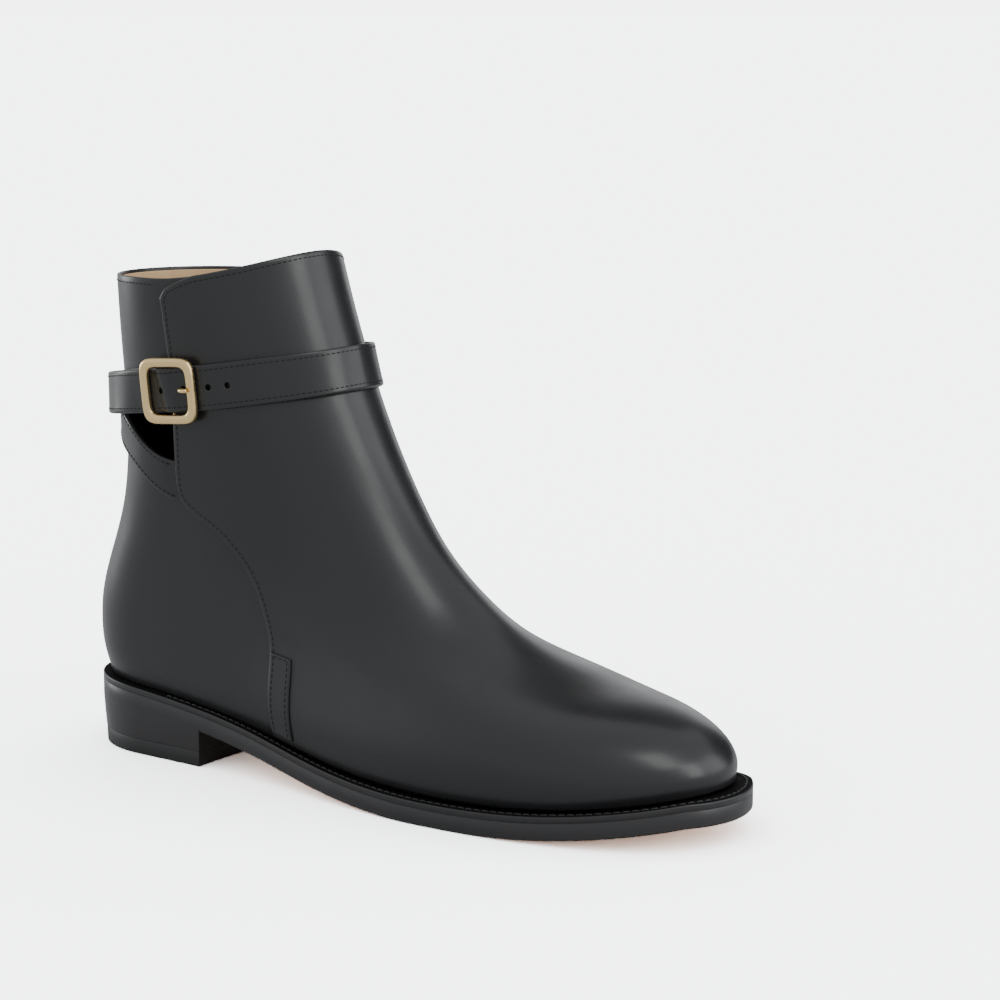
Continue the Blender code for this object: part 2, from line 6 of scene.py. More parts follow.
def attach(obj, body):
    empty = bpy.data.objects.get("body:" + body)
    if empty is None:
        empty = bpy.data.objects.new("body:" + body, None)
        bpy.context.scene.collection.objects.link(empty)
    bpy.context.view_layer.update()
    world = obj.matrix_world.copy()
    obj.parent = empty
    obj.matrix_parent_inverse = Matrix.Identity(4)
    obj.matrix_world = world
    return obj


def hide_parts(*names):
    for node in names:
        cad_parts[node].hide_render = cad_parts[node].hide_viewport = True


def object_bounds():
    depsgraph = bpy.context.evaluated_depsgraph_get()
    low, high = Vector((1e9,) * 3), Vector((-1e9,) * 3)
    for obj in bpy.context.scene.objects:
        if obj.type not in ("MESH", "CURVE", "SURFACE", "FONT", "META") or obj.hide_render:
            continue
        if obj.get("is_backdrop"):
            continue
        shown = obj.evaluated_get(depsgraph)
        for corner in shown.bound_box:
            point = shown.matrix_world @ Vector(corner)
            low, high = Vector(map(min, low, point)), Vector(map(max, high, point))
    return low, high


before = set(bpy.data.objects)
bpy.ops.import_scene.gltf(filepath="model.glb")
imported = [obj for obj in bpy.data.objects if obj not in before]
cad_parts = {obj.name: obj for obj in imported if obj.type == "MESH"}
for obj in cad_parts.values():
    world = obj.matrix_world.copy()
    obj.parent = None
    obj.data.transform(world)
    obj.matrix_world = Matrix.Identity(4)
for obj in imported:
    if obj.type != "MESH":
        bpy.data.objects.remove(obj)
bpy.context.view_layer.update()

# LAST AND UPPER
# The upper is one shaft of black box calf, cut in one piece round the heel and pulled down over the last.
# It is 1.3 mm thick and its top edge is turned over and painted. Every other piece lies on its surface.
MM = 0.001
PLAN_MIDDLE = np.array([146.0, 0.02, 0.0])    # middle of the plan, which stands over the origin
CALF_THICK = 1.3
LEG_RISE = 165.0                # from the feather line to the collar, at the middle of the side
COLLAR_LEAN = 0.8               # rise of the collar on its outer side, and its fall on the inner one

# Station along the foot, height of the feather line, middle of the feather line, line of the instep,
# half width.
LAST = np.array([
    (0.0, 28.6, -0.5, -0.5, 26.8),
    (30.0, 27.1, -0.5, -0.5, 28.4),
    (65.0, 23.8, -0.6, 0.0, 30.2),
    (100.0, 18.6, -1.6, 1.5, 32.0),
    (135.0, 12.3, -2.4, 3.0, 36.8),
    (170.0, 9.2, -1.8, 4.0, 42.2),
    (200.0, 8.9, -0.6, 3.5, 44.2),
    (235.0, 10.8, 0.5, 2.2, 42.6),
    (278.0, 16.9, 1.0, 1.0, 40.5)])

# Level, back x, back z, front x, front z, share of leg shape, fullness of the foot, half width of the leg,
# depth of the front rounding, depth of the back rounding.
LEVELS = np.array([
    (0.00, 10.0, 28.2, 278.0, 16.9, 0.00, 0.900, 36.0, 68.0, 32.0),
    (0.06, 7.6, 38.0, 278.6, 23.8, 0.00, 0.970, 36.0, 68.0, 32.0),
    (0.13, 7.0, 48.0, 273.0, 31.6, 0.04, 1.000, 36.0, 76.0, 32.5),
    (0.21, 8.2, 59.0, 258.5, 38.3, 0.14, 1.000, 36.0, 98.0, 33.0),
    (0.30, 12.0, 71.5, 230.0, 43.5, 0.30, 0.960, 36.0, 122.0, 33.0),
    (0.40, 17.5, 85.0, 195.0, 54.0, 0.55, 0.880, 36.0, 130.0, 34.0),
    (0.50, 22.0, 98.5, 166.0, 74.0, 0.80, 0.800, 35.0, 110.0, 36.0),
    (0.60, 24.2, 113.0, 147.5, 96.0, 0.96, 0.800, 34.0, 88.0, 38.0),
    (0.70, 24.4, 128.5, 133.5, 119.5, 1.00, 0.800, 34.0, 69.0, 40.0),
    (0.80, 23.7, 145.0, 122.0, 144.5, 1.00, 0.800, 35.0, 59.0, 41.0),
    (0.90, 23.0, 163.0, 113.0, 169.0, 1.00, 0.800, 36.0, 54.0, 40.0),
    (1.00, 22.5, 181.9, 106.0, 192.5, 1.00, 0.800, 36.6, 51.0, 39.0)])


def spline(xs, ys, at):
    """Natural cubic curve through the points (xs, ys), read at any values."""
    gap = np.diff(xs)
    count = len(xs)
    left = np.eye(count)
    right = np.zeros(count)
    for i in range(1, count - 1):
        left[i, i - 1:i + 2] = gap[i - 1], 2 * (gap[i - 1] + gap[i]), gap[i]
        right[i] = 6 * ((ys[i + 1] - ys[i]) / gap[i] - (ys[i] - ys[i - 1]) / gap[i - 1])
    bend = np.linalg.solve(left, right)
    at = np.clip(np.asarray(at, float), xs[0], xs[-1])
    i = np.clip(np.searchsorted(xs, at, side="right") - 1, 0, count - 2)
    lower = at - xs[i]
    upper = xs[i + 1] - at
    curve = (bend[i] * upper**3 + bend[i + 1] * lower**3) / (6 * gap[i])
    curve += (ys[i] / gap[i] - bend[i] * gap[i] / 6) * upper
    return curve + (ys[i + 1] / gap[i] - bend[i + 1] * gap[i] / 6) * lower


def column(table, number, at):
    return spline(table[:, 0], table[:, number], at)


def ease(share):
    share = np.clip(share, 0.0, 1.0)
    return share**3 * (share * (6 * share - 15) + 10)


def round_end(share):
    """0 at the end of an oval, 1 where its side begins."""
    return np.sqrt(1 - (1 - np.clip(share, 0.0, 1.0))**2.5)


def last_point(turn, level):
    """Point on the last. Turn is 0 at the back seam, -1 or 1 at the front, below 0 on the outer side."""
    turn = (np.asarray(turn, float) + 1) % 2 - 1
    level = np.clip(np.asarray(level, float) + 0 * turn, 0.0, 1.0)
    back_x, back_z, front_x, front_z, leg, full, leg_half, front_deep, back_deep = (
        column(LEVELS, k, level) for k in range(1, 10))
    share = (1 - np.cos(np.pi * np.abs(turn))) / 2
    x = back_x + (front_x - back_x) * share
    rise = np.clip((np.abs(turn) - 0.45) / 0.55, 0.0, 1.0)
    rise = share + (rise * rise * (3 - 2 * rise) - share) * level**3
    line = back_z + (front_z - back_z) * rise
    feather = column(LAST, 1, x)
    sag = feather - column(LAST, 1, back_x) - (column(LAST, 1, front_x) - column(LAST, 1, back_x)) * share
    z = line + sag * (1 - level)**2.5
    half = (1 - leg) * full * column(LAST, 4, x) + leg * leg_half
    half = half * round_end((front_x - x) / front_deep) * round_end((x - back_x) / back_deep)
    high = ease(level / 0.3)
    middle = (1 - high) * column(LAST, 2, x) + high * column(LAST, 3, x)
    z = z - COLLAR_LEAN * level**6 * np.sign(turn) * half / leg_half
    return np.stack([x, middle + np.sign(turn) * half, z], -1)


# Soft hollows and ridges of worn-in calf: along the foot, across it, height, reach of each, depth in mm.
HOLLOWS = [
    (226.0, 4.0, 44.0, 15.0, 26.0, 14.0, -0.55),
    (246.0, 2.0, 36.0, 14.0, 30.0, 16.0, 0.35),
    (176.0, -16.0, 66.0, 20.0, 14.0, 22.0, -0.4),
    (150.0, 18.0, 84.0, 16.0, 14.0, 18.0, -0.4),
    (60.0, -34.0, 92.0, 20.0, 16.0, 14.0, -0.35)]


def skin(turn, level, out=0.0):
    """Point at a distance outside the last, with the soft hollows of the leather."""
    step = 1e-3
    turn = np.asarray(turn, float)
    level = np.clip(np.asarray(level, float) + 0 * turn, 0.0, 1.0)
    along = last_point(turn + step, level) - last_point(turn - step, level)
    up = last_point(turn, level + step) - last_point(turn, level - step)
    normal = np.cross(up, along)
    normal /= np.linalg.norm(normal, axis=-1, keepdims=True)
    point = last_point(turn, level)
    relief = np.zeros(point.shape[:-1])
    for x, y, z, far_x, far_y, far_z, deep in HOLLOWS:
        far = (((point[..., 0] - x) / far_x)**2 + ((point[..., 1] - y) / far_y)**2
               + ((point[..., 2] - z) / far_z)**2)
        relief += deep * np.exp(-far)
    return point + normal * (np.asarray(out, float) + relief)[..., None]


def skin_normal(turn, level):
    outward = skin(turn, level, 1.0) - skin(turn, level)
    return outward / np.linalg.norm(outward, axis=-1, keepdims=True)


def grid_faces(rows, count, closed=False, start=0):
    """Faces between rows of points, facing out where a row runs clockwise from above."""
    r, c = np.meshgrid(np.arange(rows - 1), np.arange(count if closed else count - 1), indexing="ij")
    d = (c + 1) % count
    corners = [r * count + c, r * count + d, (r + 1) * count + d, (r + 1) * count + c]
    return np.stack(corners, -1).reshape(-1, 4) + start


def finish_nodes(name, colour, rough, metal=0.0):
    """A plain material by that name, with its nodes and shader."""
    made = bpy.data.materials.new(name)
    made.use_nodes = True
    shader = made.node_tree.nodes["Principled BSDF"]
    shader.inputs["Base Color"].default_value = (*colour, 1.0)
    shader.inputs["Roughness"].default_value = rough
    shader.inputs["Metallic"].default_value = metal
    return made, made.node_tree, shader


def add_grain(tree, shader, grains, strength):
    """Bump from several noises in object space. Grains are (kind, size in mm, height in mm)."""
    where = tree.nodes.new("ShaderNodeTexCoord")
    before = None
    for kind, size, height in grains:
        if kind == "cells":
            pattern = tree.nodes.new("ShaderNodeTexVoronoi")
            pattern.feature = "SMOOTH_F1"
            value = pattern.outputs["Distance"]
        else:
            pattern = tree.nodes.new("ShaderNodeTexNoise")
            pattern.inputs["Detail"].default_value = 3.0
            value = pattern.outputs["Fac"]
        pattern.inputs["Scale"].default_value = 1000.0 / size
        tree.links.new(where.outputs["Object"], pattern.inputs["Vector"])
        bump = tree.nodes.new("ShaderNodeBump")
        bump.inputs["Strength"].default_value = strength
        bump.inputs["Distance"].default_value = height * MM
        tree.links.new(value, bump.inputs["Height"])
        if before:
            tree.links.new(before.outputs["Normal"], bump.inputs["Normal"])
        before = bump
    tree.links.new(before.outputs["Normal"], shader.inputs["Normal"])


def add_mottle(tree, target, size, low, high):
    """Soft uneven colour or roughness between two values."""
    where = tree.nodes.new("ShaderNodeTexCoord")
    cloud = tree.nodes.new("ShaderNodeTexNoise")
    cloud.inputs["Scale"].default_value = 1000.0 / size
    cloud.inputs["Detail"].default_value = 4.0
    ramp = tree.nodes.new("ShaderNodeValToRGB")
    for stop, value, place in zip(ramp.color_ramp.elements, (low, high), (0.3, 0.7)):
        stop.position = place
        stop.color = (*value, 1.0) if isinstance(value, tuple) else (value, value, value, 1.0)
    tree.links.new(where.outputs["Object"], cloud.inputs["Vector"])
    tree.links.new(cloud.outputs["Fac"], ramp.inputs["Fac"])
    tree.links.new(ramp.outputs["Color"], target)


box_calf, tree, shader = finish_nodes("box_calf", (0.0145, 0.0145, 0.0155), 0.3)
shader.inputs["Coat Weight"].default_value = 0.25
shader.inputs["Coat Roughness"].default_value = 0.21
shader.inputs["Specular IOR Level"].default_value = 0.42
add_mottle(tree, shader.inputs["Roughness"], 14.0, 0.32, 0.40)
add_grain(tree, shader, [("noise", 9.0, 0.10), ("cells", 0.5, 0.012), ("noise", 0.35, 0.012)], 0.5)

# Painted shade: a near-black, glossless finish standing in for the deep shadow in the strap pocket on the
# upper.
pocket_painted_shade, tree, shader = finish_nodes("pocket_painted_shade", (0.001, 0.001, 0.001), 1.0)
shader.inputs["Specular IOR Level"].default_value = 0.0


made_pieces = []


def piece(name, points, faces, finishes, nodes, finish_numbers=None):
    """A mesh from millimetre points that rides with the boot and stands for the named nodes."""
    mesh = bpy.data.meshes.new(name)
    places = ((np.asarray(points, float) - PLAN_MIDDLE) * MM).tolist()
    mesh.from_pydata(places, [], faces.tolist() if isinstance(faces, np.ndarray) else faces)
    mesh.polygons.foreach_set("use_smooth", [True] * len(mesh.polygons))
    for finish in finishes:
        mesh.materials.append(finish)
    if finish_numbers is not None:
        mesh.polygons.foreach_set("material_index", finish_numbers)
    made = bpy.data.objects.new(name, mesh)
    bpy.context.scene.collection.objects.link(made)
    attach(made, "root")
    if nodes:
        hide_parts(*nodes)
    made_pieces.append(made)
    return made


def shell(name, sections, finishes, nodes):
    """Closed wall from rings of points, in order up the outside, over the rim and down the inside."""
    count = sections.shape[1]
    rows = len(sections)
    faces = grid_faces(rows + 1, count, closed=True) % (rows * count)
    return piece(name, sections.reshape(-1, 3), faces, finishes, nodes)


ROUND_COUNT = 300
RIM_ROUND = 0.65                # the turned edge is as round as half the calf
RIM_LEVEL = 1 - RIM_ROUND / LEG_RISE
up_levels = np.r_[0.0, 0.004, 0.012, np.linspace(0.025, 0.97, 120), 0.985, RIM_LEVEL]


def even_turns(level, start, end, places):
    """Turns whose points lie at given distances along the surface at one level."""
    fine = np.linspace(start, end, 500)
    path = last_point(fine, level)
    run = np.r_[0, np.cumsum(np.linalg.norm(np.diff(path, axis=0), axis=1))]
    return np.interp(places(run[-1]), run, fine)


def all_round(length):
    return np.linspace(0, length, ROUND_COUNT + 1)[:-1]


def rim(turns, level, middle, radius, steps):
    """Half circle over the top of a wall, from its outer face to its inner one."""
    rings = []
    for angle in np.linspace(0, np.pi, steps + 2)[1:-1]:
        ring = skin(turns, level, middle + radius * np.cos(angle))
        ring[:, 2] += radius * np.sin(angle)
        rings.append(ring)
    return rings


rings = [skin(even_turns(level, 0, -2, all_round), level) for level in up_levels]
top_turns = even_turns(RIM_LEVEL, 0, -2, all_round)
rings += rim(top_turns, RIM_LEVEL, -CALF_THICK / 2, RIM_ROUND, 7)
rings += [skin(even_turns(level, 0, -2, all_round), level, -CALF_THICK) for level in up_levels[::-1][::3]]
rings += [skin(even_turns(0.0, 0, -2, all_round), 0.0, -CALF_THICK)]
upper = shell("upper", np.array(rings), [box_calf, pocket_painted_shade], ["upper"])
# The pocket between the long strap's root and the buckle strap lies in deep shadow: its faces are painted
# shade.
POCKET_BACK, POCKET_FRONT, POCKET_TOP = 36.0, 75.0, 133.5
for face in upper.data.polygons:
    x, y, z = np.array(face.center) / MM + PLAN_MIDDLE
    foot_of_pocket = 113 + (68 - x) * 0.3
    if y < 0 and POCKET_BACK < x < POCKET_FRONT and foot_of_pocket < z < POCKET_TOP:
        face.material_index = 1

# LINING
# The lining is natural tan calf, 0.7 mm thick, glued inside the whole upper and sewn to it at the collar.
# It stops just under the painted edge, where its own cut edge shows as a pale line.
LINING_THICK = 0.7
LINING_TOP = 1 - 1.5 / LEG_RISE
LINING_DEEP = CALF_THICK + 0.02

lining_calf, tree, shader = finish_nodes("lining_calf", (0.6, 0.42, 0.24), 0.55)
add_mottle(tree, shader.inputs["Base Color"], 7.0, (0.60, 0.40, 0.205), (0.67, 0.465, 0.25))
add_grain(tree, shader, [("noise", 3.0, 0.12), ("cells", 0.6, 0.03)], 0.6)

lining_levels = np.r_[np.linspace(0.0, 0.97, 70), LINING_TOP]
rings = [skin(even_turns(level, 0, -2, all_round), level, -LINING_DEEP) for level in lining_levels[::4]]
rings += [skin(even_turns(LINING_TOP, 0, -2, all_round), LINING_TOP, -LINING_DEEP)]
lining_rim = even_turns(LINING_TOP, 0, -2, all_round)
rings += rim(lining_rim, LINING_TOP, -LINING_DEEP - LINING_THICK / 2, LINING_THICK / 2, 5)
rings += [skin(even_turns(level, 0, -2, all_round), level, -LINING_DEEP - LINING_THICK)
          for level in lining_levels[::-1]]
shell("lining", np.array(rings), [lining_calf], ["upper"])

# VAMP
# The vamp is one piece of black calf from the toe to the collar, its rear edges lapped over the shaft.
# Each edge is skived, painted and sewn down with one row. At the collar its corners are rounded.
VAMP_THICK = 1.35
EDGE_ROUND = 0.9

# Rear edge of the vamp, the same on both sides: level, share of the way from the back seam to the front.
VAMP_EDGE = np.array([
    (0.00, 0.418), (0.10, 0.421), (0.20, 0.434), (0.30, 0.456), (0.38, 0.475), (0.44, 0.482), (0.48, 0.472),
    (0.51, 0.450), (0.535, 0.415), (0.555, 0.397), (0.58, 0.393), (0.62, 0.400), (0.70, 0.422), (0.78, 0.448),
    (0.86, 0.466), (0.94, 0.474), (1.00, 0.476)])
CORNER_SHARE = np.array([0.0, 0.007, 0.021, 0.042, 0.077, 0.118, 0.187, 0.217])
CORNER_DROP = np.array([0.040, 0.036, 0.028, 0.0195, 0.0133, 0.0082, 0.002, 0.0])


def vamp_edge(level):
    return column(VAMP_EDGE, 1, level)


def edge_distances(length, count, soft_edge):
    """Distances along a strip, close together where its two edges are rounded."""
    near = soft_edge * np.array([0.0, 0.08, 0.25, 0.55, 1.0])
    return np.r_[near, np.linspace(soft_edge, length - soft_edge, count)[1:-1], length - near[::-1]]


def from_edge(points, sides=(True, True, True, True)):
    """Distance of each grid point from the nearest edge: first row, last row, first column, last column."""
    across = np.linalg.norm(np.diff(points, axis=1), axis=2)
    along = np.linalg.norm(np.diff(points, axis=0), axis=2)
    left = np.c_[np.zeros(len(points)), np.cumsum(across, 1)]
    low = np.r_[np.zeros((1, points.shape[1])), np.cumsum(along, 0)]
    ways = [low, low[-1] - low, left, left[:, -1:] - left]
    return np.min([way for way, used in zip(ways, sides) if used], axis=0)


def layer(name, turns, levels, under, thick, soft_edge, finishes, nodes, sides=(True,) * 4):
    """A piece of leather laid on the last, its edges rounded down."""
    inner = skin(turns, levels, under)
    far = np.clip(from_edge(inner, sides) / soft_edge, 0.0, 1.0)
    outer = skin(turns, levels, under + thick * (0.3 + 0.7 * np.sqrt(1 - (1 - far)**2)))
    return slab(name, outer, inner, finishes, nodes)


def slab(name, outer, inner, finishes, nodes):
    """Closed body between two grids of points."""
    rows, count = outer.shape[:2]
    size = rows * count
    faces = grid_faces(rows, count)
    back = grid_faces(rows, count, start=size)[:, ::-1]
    border = list(range(count)) + [r * count + count - 1 for r in range(1, rows)]
    border += [(rows - 1) * count + c for c in range(count - 2, -1, -1)]
    border += [r * count for r in range(rows - 2, 0, -1)]
    side = [(b, a, size + a, size + b) for a, b in zip(border, border[1:] + border[:1])]
    points = np.r_[outer.reshape(-1, 3), inner.reshape(-1, 3)]
    return piece(name, points, np.r_[faces, back, side], finishes, nodes)


vamp_levels = np.r_[0.009, 0.014, np.linspace(0.025, 0.985, 118),
                    1 - EDGE_ROUND / LEG_RISE * np.array([1.0, 0.55, 0.25, 0.08, 0.0])]
vamp_turns = np.array([
    even_turns(level, -vamp_edge(level), vamp_edge(level) - 2,
               lambda length: edge_distances(length, 230, EDGE_ROUND))
    for level in vamp_levels])
rear_edge = vamp_edge(vamp_levels)[:, None]
vamp_share = np.minimum(-vamp_turns - rear_edge, vamp_turns + 2 - rear_edge)
vamp_share /= 1 - rear_edge
corner = np.mean([np.interp(vamp_share + shift, CORNER_SHARE, CORNER_DROP)
                  for shift in (-0.006, 0.0, 0.006)], axis=0)
vamp_heights = vamp_levels[:, None] - corner * ease((vamp_levels[:, None] - 0.9) / 0.1)
layer("vamp", vamp_turns, vamp_heights, 0.05, VAMP_THICK, EDGE_ROUND, [box_calf],
      ["vamp"], (False, True, True, True))

# BACK STAY AND SEAM TABS
# A narrow strip of calf covers the seam at the back from the welt to the collar. At each side a small oblong
# tab is sewn over the foot of the vamp seam, where the boot flexes most.
STAY_WIDE = 9.0
STAY_THICK = 0.8
TAB_THICK = 0.8
TAB_SHARE = 0.026

stay_levels = np.r_[0.015, 0.018, np.linspace(0.024, 0.976, 120), 0.982, 0.985]
turn_lengths = [np.linalg.norm(last_point(0.02, v) - last_point(0.0, v)) for v in stay_levels]
stay_half = np.array([STAY_WIDE / 2 * 0.02 / length for length in turn_lengths])
stay_across = np.array([1.0, 0.985, 0.94, 0.87, 0.7, 0.4, 0.0])
stay_turns = stay_half[:, None] * np.r_[stay_across, -stay_across[-2::-1]]
stay_heights = np.repeat(stay_levels[:, None], stay_turns.shape[1], 1)
layer("back_stay", stay_turns, stay_heights, 0.02, STAY_THICK, 0.6, [box_calf],
      ["back_stay"])

tab_levels = 0.025 + 0.2 * np.r_[0.0, 0.003, 0.01, np.linspace(0.02, 0.98, 30), 0.99, 0.997, 1.0]
tab_across = np.r_[0.0, 0.01, 0.03, 0.07, np.linspace(0.12, 0.88, 9), 0.93, 0.97, 0.99, 1.0]
for name, side in (("seam_tab_outer", -1), ("seam_tab_inner", 1)):
    tab_turns = side * (vamp_edge(tab_levels)[:, None] + 0.003 + TAB_SHARE * tab_across)
    if side > 0:
        tab_turns = tab_turns[:, ::-1]
    tab_heights = np.repeat(tab_levels[:, None], len(tab_across), 1)
    layer(name, tab_turns, tab_heights, VAMP_THICK + 0.05, TAB_THICK, 0.5, [box_calf],
          [name])

# INSOLE
# The insole is a board of tan leather inside the boot, level with the feather line, where the foot stands.
# The lining is pulled under it, and its surface is a little darker where the sock is glued down.
WALL = CALF_THICK + LINING_THICK
INSOLE_RISE = 2.6
WELT_THICK = 2.7
SOLE_COUNT = 240
TOE_SPREAD = 1.9            # more width of the sole past the toe than beside it

insole_leather, tree, shader = finish_nodes("insole_leather", (0.5, 0.33, 0.18), 0.62)
add_mottle(tree, shader.inputs["Base Color"], 11.0, (0.44, 0.28, 0.15), (0.57, 0.39, 0.225))
add_grain(tree, shader, [("cells", 0.7, 0.03), ("noise", 4.0, 0.1)], 0.6)


def feather_loop(extra_back, extra_side, extra_toe):
    """Points of the feather line seen from above and pushed out, from the back round the outer side."""
    turn = -np.linspace(0, 2, SOLE_COUNT, endpoint=False)
    plan = last_point(turn, 0.0)[..., :2]
    along = last_point(turn - 1e-3, 0.0)[..., :2] - last_point(turn + 1e-3, 0.0)[..., :2]
    out = np.stack([along[:, 1], -along[:, 0]], -1)
    out /= np.linalg.norm(out, axis=1)[:, None]
    past_toe = extra_toe + TOE_SPREAD * (extra_toe > 0)
    extra = np.interp(plan[:, 0], [0, 40, 80, 170, 240, 276],
                      [extra_back, extra_side, extra_side, extra_toe, extra_toe, past_toe])
    return plan + out * extra[:, None]


def feather_height(x):
    return column(LAST, 1, x)


def lifted(plan, height):
    return np.c_[plan, np.zeros(len(plan)) + height]


def shrink(loop, inset):
    """The same loop moved inward."""
    along = np.roll(loop, -1, 0) - np.roll(loop, 1, 0)
    out = np.stack([along[:, 1], -along[:, 0]], -1)
    out /= np.linalg.norm(out, axis=1)[:, None]
    return loop - out * inset


def paired_cap(start, count):
    """Faces over a loop whose points pair up across the foot."""
    half = count // 2
    faces = [(start, start + 1, start + count - 1)]
    for k in range(1, half - 1):
        faces.append((start + k, start + k + 1, start + count - k - 1, start + count - k))
    faces.append((start + half - 1, start + half, start + half + 1))
    return faces


def plate(name, loops, finishes, nodes, cap_finish=None):
    """Closed body from loops of points, the lowest first, with a cap below and above."""
    rows, count = len(loops), len(loops[0])
    faces = [tuple(face) for face in grid_faces(rows, count, closed=True)]
    under = [tuple(reversed(face)) for face in paired_cap(0, count)]
    top = paired_cap((rows - 1) * count, count)
    numbers = [0] * len(faces) + [cap_finish or 0] * len(under) + [0] * len(top)
    made = piece(name, np.concatenate(loops), faces + under + top, finishes, nodes, numbers)
    made.data.set_sharp_from_angle(angle=0.7)
    return made


inner = feather_loop(*[-WALL - 0.15] * 3)
rim_low, rim_high = shrink(inner, 0.3), shrink(inner, 1.2)
plate("insole", [lifted(inner, feather_height(inner[:, 0]) - WELT_THICK + 0.1),
                 lifted(inner, feather_height(inner[:, 0]) + INSOLE_RISE - 1.0),
                 lifted(rim_low, feather_height(rim_low[:, 0]) + INSOLE_RISE - 0.3),
                 lifted(rim_high, feather_height(rim_high[:, 0]) + INSOLE_RISE)],
      [insole_leather], ["insole"])

# WELT
# The welt is a strip of black leather round the whole foot, sewn to the upper in the dark groove above it.
# Its top edge is bevelled and burnished, and the outsole is stitched to it through its upper face.
black_sole, tree, shader = finish_nodes("black_sole", (0.019, 0.0185, 0.0195), 0.42)
shader.inputs["Coat Weight"].default_value = 0.15
shader.inputs["Coat Roughness"].default_value = 0.25
add_mottle(tree, shader.inputs["Roughness"], 5.0, 0.32, 0.44)
add_grain(tree, shader, [("noise", 1.2, 0.03), ("noise", 12.0, 0.12)], 0.5)

outer = feather_loop(3.4, 3.6, 6.2)
welt_inner = feather_loop(*[-WALL + 0.2] * 3)
welt_rings = []
for inset, drop in ((0.0, WELT_THICK), (0.0, 0.72), (0.08, 0.5), (0.32, 0.38), (0.95, 0.35), (2.2, 0.42)):
    ring = shrink(outer, inset)
    welt_rings.append(lifted(ring, feather_height(ring[:, 0]) - drop))
welt_rings.append(lifted(welt_inner, feather_height(welt_inner[:, 0]) - 0.08))
welt_rings.append(lifted(welt_inner, feather_height(welt_inner[:, 0]) - WELT_THICK))
# The welt's top under the upper and its inner wall are darker than the rest: painted shade of the groove,
# with a dull finish.
groove_painted_shade, tree, shader = finish_nodes("groove_painted_shade", (0.004, 0.004, 0.004), 0.8)
shader.inputs["Specular IOR Level"].default_value = 0.1
add_grain(tree, shader, [("noise", 0.8, 0.05)], 0.6)
welt = shell("welt", np.array(welt_rings), [black_sole, groove_painted_shade], ["welt"])
welt_faces = welt.data.polygons
groove_shade_rings = [int(3 <= k // SOLE_COUNT <= 6) for k in range(len(welt_faces))]
welt_faces.foreach_set("material_index", groove_shade_rings)

# OUTSOLE
# The outsole is 6 mm of oak-tanned leather, its edge trimmed flush with the welt, inked black and burnished.
# Its underside is left natural tan. It dips at the waist and rests flat under the ball of the foot.
OUTSOLE_THICK = 6.0
EDGE_HIGH = WELT_THICK + 0.3 + OUTSOLE_THICK

sole_leather, tree, shader = finish_nodes("sole_leather", (0.5, 0.27, 0.13), 0.5)
add_mottle(tree, shader.inputs["Base Color"], 9.0, (0.43, 0.22, 0.10), (0.56, 0.32, 0.17))
add_grain(tree, shader, [("cells", 0.6, 0.04), ("noise", 2.5, 0.06)], 0.6)


def ground_height(x):
    """Underside of the outsole, flat where the ball of the foot rests."""
    return np.maximum(feather_height(x) - EDGE_HIGH, 0.0)


outsole_loops = []
for inset, rise in ((1.1, 0.0), (0.5, 0.12), (0.12, 0.5), (0.0, 1.1)):
    ring = shrink(outer, inset)
    outsole_loops.append(lifted(ring, ground_height(ring[:, 0]) + rise))
outsole_loops.append(lifted(outer, feather_height(outer[:, 0]) - WELT_THICK - 0.06))
outsole_loops.append(lifted(shrink(outer, 0.03), feather_height(outer[:, 0]) - WELT_THICK - 0.02))
plate("outsole", outsole_loops, [black_sole, sole_leather], ["outsole"], cap_finish=1)

# HEEL AND TOP LIFT
# The heel is a stack of leather lifts, inked and burnished as one block, its breast cut straight across.
# The rubber top lift below is nailed on and trimmed a little smaller, which leaves a faint line.
LIFT_THICK = 6.0
BREAST_X = 73.0

black_rubber, tree, shader = finish_nodes("black_rubber", (0.014, 0.014, 0.0145), 0.5)
add_grain(tree, shader, [("noise", 0.7, 0.04)], 0.5)

breast_turn = 0.5
while last_point(breast_turn, 0.0)[0] > BREAST_X:
    breast_turn -= 0.002
heel_turn = np.linspace(breast_turn, -breast_turn, 121)
heel_line = last_point(heel_turn, 0.0)[..., :2]
heel_along = last_point(heel_turn - 1e-3, 0.0)[..., :2] - last_point(heel_turn + 1e-3, 0.0)[..., :2]
heel_out = np.stack([heel_along[:, 1], -heel_along[:, 0]], -1)
heel_out /= np.linalg.norm(heel_out, axis=1)[:, None]
heel_extra = np.interp(heel_line[:, 0], [0, 40, 80], [3.4, 3.6, 3.6])


def heel_loop(inset):
    """Outline of the heel from above, its breast slightly hollow."""
    side = heel_line + heel_out * (heel_extra - inset)[:, None]
    side[:, 0] -= np.clip((side[:, 0] - BREAST_X + 8) / 8, 0, 1) * inset
    across = np.linspace(side[-1], side[0], 42)[1:-1]
    hollow = 1 - ((across[:, 1] - across[:, 1].mean()) / np.abs(side[0, 1] - side[-1, 1]) * 2)**2
    across[:, 0] -= 0.8 * hollow
    return np.r_[side, across]


def heel_block(name, profile, finish):
    """Closed block between heel outlines. Profile is (inset, height or None for the sole's underside)."""
    loops = []
    for inset, height, drop in profile:
        plan = heel_loop(inset)
        loops.append(lifted(plan, ground_height(plan[:, 0]) - drop if height is None else height))
    rows, count = len(loops), len(loops[0])
    faces = [tuple(face) for face in grid_faces(rows, count, closed=True)]
    middle = len(np.concatenate(loops))
    caps = [loops[0].mean(0), loops[-1].mean(0)]
    last_row = (rows - 1) * count
    faces += [((k + 1) % count, k, middle) for k in range(count)]
    faces += [(last_row + k, last_row + (k + 1) % count, middle + 1) for k in range(count)]
    made = piece(name, np.r_[np.concatenate(loops), caps], faces, [finish], [name])
    made.data.set_sharp_from_angle(angle=0.7)
    return made


